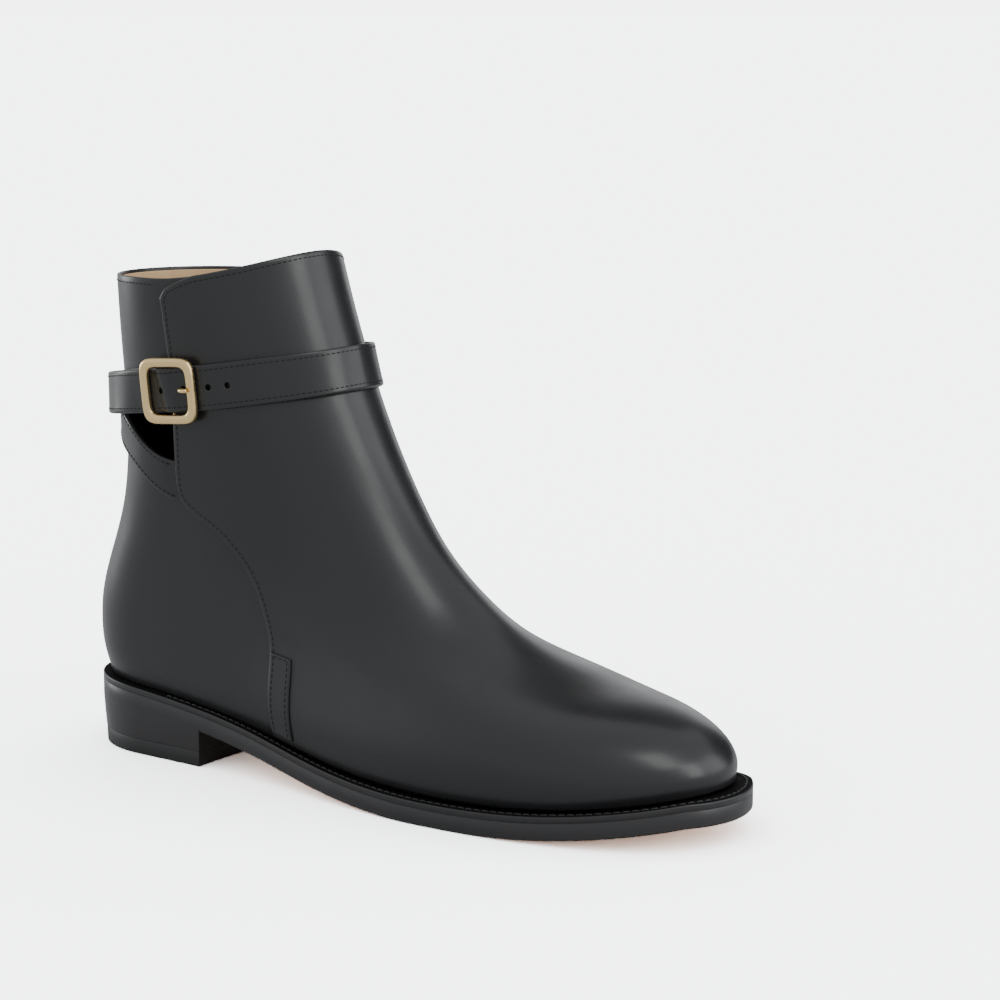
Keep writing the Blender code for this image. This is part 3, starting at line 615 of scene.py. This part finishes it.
heel_rows = [(1.1, LIFT_THICK + 0.05, 0), (0.85, LIFT_THICK + 0.25, 0), (0.8, LIFT_THICK + 0.8, 0),
             (0.4, 12.0, 0), (0.0, None, 0.6), (-0.03, None, -0.6), (-0.03, None, -1.3),
             (0.1, None, -1.35)]
lift_rows = [(2.2, 0.0, 0), (1.6, 0.12, 0), (1.25, 0.5, 0), (1.1, 1.2, 0),
             (0.95, LIFT_THICK - 0.5, 0), (1.15, LIFT_THICK - 0.02, 0)]
heel_block("heel", heel_rows, black_sole)
heel_block("top_lift", lift_rows, black_rubber)

# LONG STRAP
# The long strap is sewn in behind the vamp edge on the outer side. It passes round the heel, along the inner
# side, over the front and through the buckle. It is two thicknesses of calf, 16 mm wide, with punched holes.
STRAP_THICK = 1.6
HOLE_WIDE = 2.3
HOLE_TURNS = (1.381, 1.432, 1.4995, 1.561)

# Turn and height of the upper edge, turn and height of the lower edge.
LONG_STRAP = np.array([
    (-0.412, 115.6, -0.412, 99.2), (-0.360, 117.9, -0.345, 104.0), (-0.305, 123.3, -0.280, 112.2),
    (-0.255, 129.4, -0.215, 117.4), (-0.170, 135.6, -0.130, 122.6), (-0.060, 140.2, -0.040, 126.4),
    (0.060, 143.4, 0.060, 128.6), (0.180, 145.6, 0.180, 129.8), (0.300, 147.7, 0.300, 131.6),
    (0.430, 149.9, 0.430, 133.6), (0.560, 152.6, 0.560, 136.2), (0.690, 155.0, 0.690, 138.8),
    (0.820, 156.4, 0.820, 140.6), (0.930, 157.1, 0.930, 141.6), (1.000, 157.3, 1.000, 141.8),
    (1.070, 157.1, 1.070, 141.6), (1.180, 156.4, 1.180, 140.6), (1.310, 155.0, 1.310, 138.8),
    (1.420, 152.9, 1.420, 136.7), (1.480, 151.9, 1.480, 135.6), (1.520, 151.3, 1.520, 135.0),
    (1.560, 150.6, 1.560, 134.3), (1.620, 149.4, 1.620, 133.2), (1.700, 148.0, 1.700, 132.0),
    (1.800, 146.0, 1.800, 130.1), (1.905, 143.9, 1.905, 128.9)])

# How far the inner face stands off the upper: turn, at the upper edge, at the lower edge.
LONG_STAND = np.array([
    (-0.40, 0.0, 0.0), (-0.28, 0.1, 0.4), (-0.12, 1.4, 1.4), (0.12, 1.4, 1.4), (0.22, 0.7, 0.8),
    (0.35, 0.5, 0.5), (0.42, 1.9, 1.9), (0.60, 2.2, 1.9), (0.80, 3.0, 1.9), (1.00, 4.3, 2.0),
    (1.20, 3.0, 1.9), (1.40, 2.0, 1.9), (1.503, 1.9, 1.9), (1.526, 3.8, 3.8), (1.552, 3.8, 3.8),
    (1.575, 2.3, 2.3), (1.65, 2.3, 2.5), (1.74, 2.9, 4.5), (1.82, 4.5, 5.2), (1.88, 5.4, 5.4),
    (1.92, 5.4, 5.4)])


def level_at(turn, height):
    """Level at which the upper's surface has a given height."""
    turn = np.asarray(turn, float)
    low = np.zeros(np.broadcast(turn, height).shape)
    high = low + 1.0
    for _ in range(22):
        middle = (low + high) / 2
        under = last_point(turn, middle)[..., 2] < height
        low = np.where(under, middle, low)
        high = np.where(under, high, middle)
    return (low + high) / 2


def soft(xs, ys, at, reach):
    """Straight runs between the points, their corners rounded over a reach."""
    return np.mean([np.interp(at + shift, xs, ys) for shift in np.linspace(-reach, reach, 7)], axis=0)


class Strap:
    """A strap along a path of edges, read at any place along and across."""

    def __init__(self, path, stand, tip=0.0):
        self.path = path
        self.stand = stand[np.argsort(stand[:, 0])]
        self.tip = tip

    def at(self, place, across, out):
        steps = np.arange(len(self.path))
        edges = [spline(steps, self.path[:, k], place) for k in range(4)]
        middle = (edges[0] + edges[2]) / 2
        stands = [soft(self.stand[:, 0], self.stand[:, k], middle, 0.008) for k in (1, 2)]
        narrow = 1.0
        if self.tip:
            left = np.clip(np.abs(middle - self.path[-1, 0]) / self.tip, 0.0, 1.0)
            narrow = np.sqrt(1 - 0.93 * (1 - left)**2)
        share = 0.5 + (across - 0.5) * narrow
        turn = edges[2] + (edges[0] - edges[2]) * share
        height = edges[3] + (edges[1] - edges[3]) * share
        off = stands[1] + (stands[0] - stands[1]) * share
        return skin(turn, level_at(turn, height), off + out)

    def grids(self, steps, thick):
        """Outer and inner points, the first end left square and thinned where it is sewn under the vamp."""
        across = np.r_[0.0, 0.006, 0.018, 0.036, 0.06, np.linspace(0.06, 0.94, 11)[1:-1],
                       0.94, 0.964, 0.982, 0.994, 1.0]
        place, across = np.meshgrid(np.linspace(0, len(self.path) - 1, steps), across)
        inner = self.at(place, across, 0.0)
        far = np.clip(from_edge(inner, (True, True, False, True)) / 0.8, 0.0, 1.0)
        skived = thick * (0.55 + 0.45 * ease(place / 0.9))
        return self.at(place, across, skived * (0.3 + 0.7 * np.sqrt(1 - (1 - far)**2))), inner


def bored(target, ends, radius):
    """Round holes cut through a piece, each along a line between two points."""
    for low_end, high_end in ends:
        axis = Vector(high_end - low_end).normalized()
        depth = float(np.linalg.norm(high_end - low_end)) * MM
        bpy.ops.mesh.primitive_cylinder_add(vertices=24, radius=radius * MM, depth=depth)
        punch = bpy.context.object
        middle = Vector(((low_end + high_end) / 2 - PLAN_MIDDLE) * MM)
        upright = axis.to_track_quat("Z", "Y").to_matrix().to_4x4()
        punch.matrix_world = Matrix.Translation(middle) @ upright
        step = target.modifiers.new("hole", "BOOLEAN")
        step.operation = "DIFFERENCE"
        step.solver = "EXACT"
        step.object = punch
        bpy.context.view_layer.update()
        evaluated = target.evaluated_get(bpy.context.evaluated_depsgraph_get())
        cut_mesh = bpy.data.meshes.new_from_object(evaluated)
        target.modifiers.clear()
        target.data = cut_mesh
        bpy.data.objects.remove(punch)


long_strap_line = Strap(LONG_STRAP, LONG_STAND, tip=0.06)
outer_grid, inner_grid = long_strap_line.grids(420, STRAP_THICK)
long_strap = slab("long_strap", outer_grid[::-1], inner_grid[::-1], [box_calf],
                  ["long_strap"])
hole_heights = np.interp(HOLE_TURNS, LONG_STRAP[14:, 0], (LONG_STRAP[14:, 1] + LONG_STRAP[14:, 3]) / 2)
hole_levels = level_at(np.array(HOLE_TURNS), hole_heights)
hole_ends = [(skin(t, v, 0.8), skin(t, v, 7.5)) for t, v in zip(HOLE_TURNS, hole_levels)]
bored(long_strap, hole_ends, HOLE_WIDE / 2)

# BUCKLE STRAP
# The shorter strap is sewn in behind the vamp edge on the inner side and comes round the back of the boot.
# Its fold round the middle bar of the buckle, which it holds against the outer side, is not drawn: it ends
# just short of the bar.
BUCKLE_STRAP = np.array([
    (0.412, 115.6, 0.412, 99.2), (0.360, 117.9, 0.345, 104.0), (0.305, 123.3, 0.280, 112.2),
    (0.255, 129.4, 0.215, 117.4), (0.170, 135.6, 0.130, 122.6), (0.060, 140.2, 0.040, 126.4),
    (-0.060, 143.4, -0.060, 128.6), (-0.180, 145.6, -0.180, 129.8), (-0.300, 148.0, -0.300, 132.0),
    (-0.395, 149.8, -0.385, 133.6), (-0.455, 150.9, -0.430, 134.3)])
BUCKLE_STAND = np.array([
    (-0.46, 0.3, 0.3), (-0.36, 0.3, 0.3), (-0.26, 0.9, 2.4), (-0.18, 2.5, 3.2), (-0.11, 3.4, 3.4),
    (0.11, 3.4, 3.4), (0.19, 3.4, 2.9), (0.26, 2.7, 0.8), (0.32, 0.3, 0.2), (0.40, 0.0, 0.0)])
buckle_strap_line = Strap(BUCKLE_STRAP, BUCKLE_STAND)
outer_grid, inner_grid = buckle_strap_line.grids(220, STRAP_THICK)
slab("buckle_strap", outer_grid, inner_grid, [box_calf], ["buckle_strap"])

# BUCKLE AND PIN
# The buckle is a cast brass frame with rounded corners and soft edges, plated pale gold and brushed.
# Its pin turns on the middle bar, comes up through the third hole and rests on the front bar.
BUCKLE_X = 67.6
BUCKLE_Z = 142.6
BUCKLE_LEAN = 3.8       # degrees that the buckle turns to follow the strap
BUCKLE_WIDE = 24.6
BUCKLE_HIGH = 24.4
BUCKLE_BAR = 3.4
BUCKLE_STAND_OFF = 3.9
PIN_HOLE = 2

gold_brass, tree, shader = finish_nodes("gold_brass", (0.92, 0.69, 0.34), 0.3, 1.0)
shader.inputs["Anisotropic"].default_value = 0.3
add_mottle(tree, shader.inputs["Roughness"], 2.5, 0.25, 0.34)
add_grain(tree, shader, [("noise", 1.2, 0.006)], 0.4)

turns = np.linspace(-0.6, -0.3, 301)
points = last_point(turns, level_at(turns, BUCKLE_Z))
buckle_turn = turns[np.argmin(np.abs(points[:, 0] - BUCKLE_X))]
buckle_level = level_at(buckle_turn, BUCKLE_Z)
buckle_middle = last_point(buckle_turn, buckle_level)
buckle_out = skin_normal(buckle_turn, buckle_level)
buckle_forward = np.cross((0.0, 0.0, 1.0), buckle_out)
buckle_forward /= np.linalg.norm(buckle_forward)
buckle_up = np.cross(buckle_out, buckle_forward)
lean = np.radians(BUCKLE_LEAN)
buckle_forward, buckle_up = (buckle_forward * np.cos(lean) + buckle_up * np.sin(lean),
                             buckle_up * np.cos(lean) - buckle_forward * np.sin(lean))

RING_STEPS = 120
angle = 2 * np.pi * np.arange(RING_STEPS) / RING_STEPS
OUTER_SQUARE, INNER_SQUARE = 2 / 5.2, 2 / 5.8


def buckle_ring(inset, rise):
    """One loop round the frame, at a distance in from its outline and above its back."""
    square = OUTER_SQUARE + (INNER_SQUARE - OUTER_SQUARE) * np.clip(inset / BUCKLE_BAR, 0, 1)
    x = (BUCKLE_WIDE / 2 - inset) * np.sign(np.cos(angle)) * np.abs(np.cos(angle))**square
    y = (BUCKLE_HIGH / 2 - inset) * np.sign(np.sin(angle)) * np.abs(np.sin(angle))**square
    return (buckle_middle + np.outer(x, buckle_forward) + np.outer(y, buckle_up)
            + buckle_out * (BUCKLE_STAND_OFF + rise))


# Distance in from the outline and height above the back of the frame, 3.4 mm wide and 2.4 mm thick.
section = [(0.0, 0.55), (0.0, 1.3), (0.12, 1.75), (0.4, 2.1), (0.85, 2.33), (1.3, 2.4), (2.1, 2.4),
           (2.55, 2.33), (3.0, 2.1), (3.28, 1.75), (3.4, 1.3), (3.4, 0.55), (3.28, 0.15),
           (3.05, 0.0), (0.35, 0.0), (0.1, 0.15)]
buckle_rings = np.array([buckle_ring(inset, rise) for inset, rise in section])
shell("buckle_frame", buckle_rings, [gold_brass], ["buckle_frame"])


def rod(path, radii, sides=14):
    """Points and faces of a round bar with domed ends."""
    path = np.asarray(path, float)
    along = np.gradient(path, axis=0)
    along /= np.linalg.norm(along, axis=1)[:, None]
    side = np.cross(along, (0.13, 0.21, 0.97))
    side /= np.linalg.norm(side, axis=1)[:, None]
    up = np.cross(along, side)
    turn = 2 * np.pi * np.arange(sides) / sides
    rings = [p + r * (np.outer(np.cos(turn), a) + np.outer(np.sin(turn), b))
             for p, r, a, b in zip(path, radii, side, up)]
    faces = [tuple(face) for face in grid_faces(len(path), sides, closed=True)]
    faces += [tuple(range(sides - 1, -1, -1)), tuple((len(path) - 1) * sides + k for k in range(sides))]
    return np.concatenate(rings), faces


BAR_DROP = 1.35                 # the middle bar sits behind the back of the frame, under the strap
BAR_RADIUS = 0.6
bar_bends = ((-11.4, 1.6), (-10.8, 0.6), (-10.0, 0.1), (0.0, 0.0), (10.0, 0.1), (10.8, 0.6), (11.4, 1.6))
bar_path = [buckle_middle + buckle_up * y + buckle_out * (BUCKLE_STAND_OFF - BAR_DROP + lift)
            for y, lift in bar_bends]
bar_points, bar_faces = rod(bar_path, [BAR_RADIUS] * len(bar_bends))
piece("buckle_bar", bar_points, bar_faces, [gold_brass], ["buckle_frame"])

pin_hole = skin(HOLE_TURNS[PIN_HOLE], hole_levels[PIN_HOLE]) - buckle_middle
pin_start, pin_high = pin_hole @ buckle_forward, pin_hole @ buckle_up
pin_line = [(0.0, 2.2), (0.02, 3.4), (0.1, 4.6), (0.3, 5.6), (0.75, 6.4), (1.4, 6.95), (2.2, 7.25),
            (3.0, 7.35), (3.8, 7.4), (4.4, 7.4), (4.65, 7.38), (4.75, 7.36)]
pin_path = [buckle_middle + buckle_forward * (pin_start + x) + buckle_up * pin_high + buckle_out * z
            for x, z in pin_line]
pin_points, pin_faces = rod(pin_path, [0.75, 0.75, 0.78, 0.8, 0.82, 0.82, 0.8, 0.8, 0.78, 0.7, 0.5, 0.2])
piece("buckle_pin", pin_points, pin_faces, [gold_brass], ["buckle_pin"])

# STITCHES
# Every edge is sewn with one row of fine black thread, about 12 stitches to 25 mm, a little sunk in.
# The welt has a coarser row of waxed thread, which comes forward from the waist on both sides.
FINE_PITCH = 2.1
FINE_THREAD = 0.42
STITCH_INSET = 2.1
WELT_PITCH = 3.2
WELT_THREAD = 0.75

black_thread, tree, shader = finish_nodes("black_thread", (0.006, 0.006, 0.006), 0.75)
add_grain(tree, shader, [("noise", 0.25, 0.04)], 0.6)
waxed_thread, tree, shader = finish_nodes("waxed_thread", (0.018, 0.018, 0.019), 0.55)
add_grain(tree, shader, [("noise", 0.3, 0.05)], 0.6)


def even_path(points, outs, pitch):
    """Points and outward directions at an even pitch along a line."""
    run = np.r_[0, np.cumsum(np.linalg.norm(np.diff(points, axis=0), axis=1))]
    count = max(int(run[-1] / pitch), 2)
    where = np.linspace(0, run[-1], 2 * count + 1)
    place = np.stack([np.interp(where, run, points[:, k]) for k in range(3)], -1)
    out = np.stack([np.interp(where, run, outs[:, k]) for k in range(3)], -1)
    return place, out / np.linalg.norm(out, axis=1)[:, None]


def stitches(name, lines, pitch, thread, finish, fill=0.78):
    """One mesh with a short rounded stitch at each step of each line."""
    sections = np.array([(-0.5, -0.55, 0.5), (-0.4, 0.0, 0.85), (-0.15, 0.22, 1.0),
                         (0.15, 0.22, 1.0), (0.4, 0.0, 0.85), (0.5, -0.55, 0.5)])
    turn = 2 * np.pi * np.arange(6) / 6
    all_points, all_faces, start = [], [], 0
    ring_faces = [tuple(face) for face in grid_faces(len(sections), 6, closed=True)]
    ring_faces += [tuple(range(5, -1, -1)), tuple(30 + k for k in range(6))]
    ring_faces = [face[::-1] for face in ring_faces]
    for points, outs in lines:
        place, out = even_path(points, outs, pitch)
        for k in range(1, len(place) - 1, 2):
            along = place[k + 1] - place[k - 1]
            length = np.linalg.norm(along)
            along /= length
            side = np.cross(along, out[k])
            for far, rise, wide in sections:
                middle = place[k] + along * far * length * fill + out[k] * rise * thread * 0.6
                ring = np.outer(np.cos(turn), side) + 0.8 * np.outer(np.sin(turn), out[k])
                all_points.append(middle + wide * thread / 2 * ring)
            all_faces += [tuple(start + v for v in face) for face in ring_faces]
            start += 6 * len(sections)
    return piece(name, np.concatenate(all_points), all_faces, [finish], [])


def on_skin(turns, levels, out):
    return skin(turns, levels, out), skin_normal(turns, levels)


def along_strap(line, first, last, across, out):
    """A row on a strap between two places, with the direction out of it."""
    place = np.linspace(first, last, 400)
    here = line.at(place, across, out)
    return here, skin_like(line, place, across, out) - here


def skin_like(line, place, across, out):
    return line.at(place, across, out + 1.0)


def inside_edge(points, outs, inset):
    """The same line moved inward from an edge along the surface, to its left."""
    along = np.gradient(points, axis=0)
    side = np.cross(outs, along)
    side /= np.linalg.norm(side, axis=1)[:, None]
    return points + side * inset, outs


edge_row = vamp_levels > 0.03
edge_turns = np.r_[vamp_turns[edge_row, 0], vamp_turns[-1, 1:-1], vamp_turns[edge_row, -1][::-1]]
edge_levels = np.r_[vamp_heights[edge_row, 0], vamp_heights[-1, 1:-1], vamp_heights[edge_row, -1][::-1]]
edge_line, edge_outs = on_skin(edge_turns, edge_levels, VAMP_THICK + 0.05)
smooth_line, smooth_outs = even_path(edge_line, edge_outs, 1.6)
rows = [inside_edge(smooth_line, smooth_outs, -STITCH_INSET)]
back_turns = np.linspace(0.45, -0.45, 300)
COLLAR_INSET = 2.1              # from the collar's edge down to its row of stitches
back_out = np.where(np.abs(back_turns) < stay_half[-1], STAY_THICK + 0.02, 0.0)
rows.append(on_skin(back_turns, 1 - COLLAR_INSET / LEG_RISE + 0 * back_turns, back_out))
stitches("upper_stitches", rows, FINE_PITCH, FINE_THREAD, black_thread)

rows = []
for side in (-1, 1):
    for share in (0.16, 0.84):
        low = np.linspace(0.03, 0.218, 60)
        tab_row = side * (vamp_edge(low) + 0.003 + TAB_SHARE * share)
        rows.append(on_skin(tab_row, low, VAMP_THICK + TAB_THICK + 0.05))
    across = vamp_edge(0.216) + 0.003 + TAB_SHARE * np.linspace(0.16, 0.84, 12)
    rows.append(on_skin(side * across, 0.216 + 0 * across, VAMP_THICK + TAB_THICK + 0.05))
    stay_rows = np.linspace(0.03, 0.97, 300)
    stay_at = np.interp(stay_rows, stay_levels, stay_half) * 0.7
    rows.append(on_skin(side * stay_at, stay_rows, STAY_THICK + 0.02))
stitches("tab_stitches", rows, FINE_PITCH, FINE_THREAD, black_thread)

ROW_PLACES = (0.12, 0.88)       # the two rows, as shares of the strap's width
rows = [along_strap(long_strap_line, 0.4, len(LONG_STRAP) - 1.25, across, STRAP_THICK)
        for across in ROW_PLACES]
rows += [along_strap(buckle_strap_line, 0.4, len(BUCKLE_STRAP) - 1.2, across, STRAP_THICK)
         for across in ROW_PLACES]
stitches("strap_stitches", rows, FINE_PITCH, FINE_THREAD, black_thread)

stitch_loop = shrink(outer, 2.3)
stitch_line = lifted(stitch_loop, feather_height(stitch_loop[:, 0]) - 0.25)
stitch_line = stitch_line[stitch_line[:, 0] > 52.0]
upward = np.repeat([[0.0, 0.0, 1.0]], len(stitch_line), 0)
stitches("welt_stitches", [(stitch_line, upward)], WELT_PITCH, WELT_THREAD, waxed_thread,
         fill=0.82)

# FLOOR, LIGHT AND CAMERA
# A plain pale floor in a pale room. Three windows to the right draw the long soft highlights down the front.
# Two low ones light the toe and the back edge. They light the boot alone, so that the floor stays even, and
# two dark cards keep its gloss deep at the front. The camera stands where the photograph was taken from.
FLOOR_PALE = (0.86, 0.865, 0.87)
PAPER_WHITE = 8.2               # how much brighter floor and room look to the camera than to the leather

floor_paint = bpy.data.materials.new("floor_paint")
floor_paint.use_nodes = True
tree = floor_paint.node_tree
tree.nodes.clear()
seen = tree.nodes.new("ShaderNodeLightPath")
paints = []
for gain in (1.0, PAPER_WHITE):
    paint = tree.nodes.new("ShaderNodeBsdfDiffuse")
    paint.inputs["Color"].default_value = (*[gain * part for part in FLOOR_PALE], 1.0)
    paints.append(paint)
mixed = tree.nodes.new("ShaderNodeMixShader")
done = tree.nodes.new("ShaderNodeOutputMaterial")
tree.links.new(seen.outputs["Is Camera Ray"], mixed.inputs["Fac"])
tree.links.new(paints[0].outputs["BSDF"], mixed.inputs[1])
tree.links.new(paints[1].outputs["BSDF"], mixed.inputs[2])
tree.links.new(mixed.outputs["Shader"], done.inputs["Surface"])
floor_mesh = bpy.data.meshes.new("floor")
floor_mesh.from_pydata([(-40, -40, 0), (40, -40, 0), (40, 40, 0), (-40, 40, 0)], [], [(0, 1, 2, 3)])
floor_mesh.materials.append(floor_paint)
floor = bpy.data.objects.new("floor", floor_mesh)
bpy.context.scene.collection.objects.link(floor)
floor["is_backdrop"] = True

ROOM_LIGHT = 0.78
ROOM_SEEN = 5.4
world = bpy.data.worlds.new("studio")
bpy.context.scene.world = world
world.use_nodes = True
tree = world.node_tree
room = tree.nodes["Background"]
room.inputs["Color"].default_value = (0.96, 0.98, 1.0, 1.0)
seen = tree.nodes.new("ShaderNodeLightPath")
strength = tree.nodes.new("ShaderNodeMapRange")
strength.inputs["To Min"].default_value = ROOM_LIGHT
strength.inputs["To Max"].default_value = ROOM_SEEN
tree.links.new(seen.outputs["Is Camera Ray"], strength.inputs["Value"])
tree.links.new(strength.outputs["Result"], room.inputs["Strength"])


BOOT_AIM = (0.0, 0.0, 0.1)
lit_by_windows = bpy.data.collections.new("lit_by_windows")
for made in made_pieces:
    lit_by_windows.objects.link(made)


def softbox(name, place, aim, wide, high, watts, colour=(1.0, 1.0, 1.0)):
    light = bpy.data.lights.new(name, "AREA")
    light.shape = "RECTANGLE"
    light.size, light.size_y = wide, high
    light.energy = watts
    light.color = colour
    made = bpy.data.objects.new(name, light)
    made.location = place
    made.rotation_euler = (Vector(aim) - Vector(place)).to_track_quat("-Z", "Y").to_euler()
    bpy.context.scene.collection.objects.link(made)
    made.light_linking.receiver_collection = lit_by_windows
    return made


softbox("window_right", (1.66, 0.20, 0.78), BOOT_AIM, 0.6, 1.1, 8.0)
softbox("window_above_right", (1.02, -0.25, 1.5), BOOT_AIM, 0.6, 0.95, 7.0)
softbox("window_far_right", (1.42, 1.18, 0.72), BOOT_AIM, 0.95, 1.1, 5.6, (0.92, 0.96, 1.0))
softbox("window_behind", (-0.95, 1.95, 0.42), BOOT_AIM, 1.5, 0.6, 1.7)
softbox("window_left", (-1.9, -0.25, 0.35), BOOT_AIM, 0.8, 0.7, 8.0)

CARD_FAR = 0.9
card_black = finish_nodes("card_black", (0.002, 0.002, 0.002), 1.0)[0]


def dark_card(name, azimuth, elevation, wide, high):
    """A studio flag that only the gloss of the leather sees, in degrees round the boot."""
    mesh = bpy.data.meshes.new(name)
    mesh.from_pydata([(-wide / 2, -high / 2, 0), (wide / 2, -high / 2, 0), (wide / 2, high / 2, 0),
                      (-wide / 2, high / 2, 0)], [], [(0, 1, 2, 3)])
    mesh.materials.append(card_black)
    card = bpy.data.objects.new(name, mesh)
    turn, rise = np.radians(azimuth), np.radians(elevation)
    away = Vector((np.cos(turn) * np.cos(rise), np.sin(turn) * np.cos(rise), np.sin(rise)))
    card.location = Vector((0.05, 0.0, 0.07)) + away * CARD_FAR
    card.rotation_euler = away.to_track_quat("-Z", "Y").to_euler()
    card.visible_camera = False
    card.visible_diffuse = False
    card.visible_shadow = False
    bpy.context.scene.collection.objects.link(card)
    card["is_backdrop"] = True


dark_card("card_behind_shaft", 80.0, 14.0, 0.62, 0.55)
dark_card("card_behind_vamp", 122.0, 35.0, 0.74, 0.46)

CAMERA_TARGET = Vector((0.0412, 0.0, 0.10841))
CAMERA_PLACE = Vector((0.62065, -0.8291, 0.2833))
camera_data = bpy.data.cameras.new("camera")
camera_data.lens = 104.68
camera_data.sensor_width = 36.0
camera = bpy.data.objects.new("camera", camera_data)
camera.location = CAMERA_PLACE
camera.rotation_euler = (CAMERA_TARGET - CAMERA_PLACE).to_track_quat("-Z", "Y").to_euler()
bpy.context.scene.collection.objects.link(camera)
bpy.context.scene.camera = camera

low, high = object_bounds()
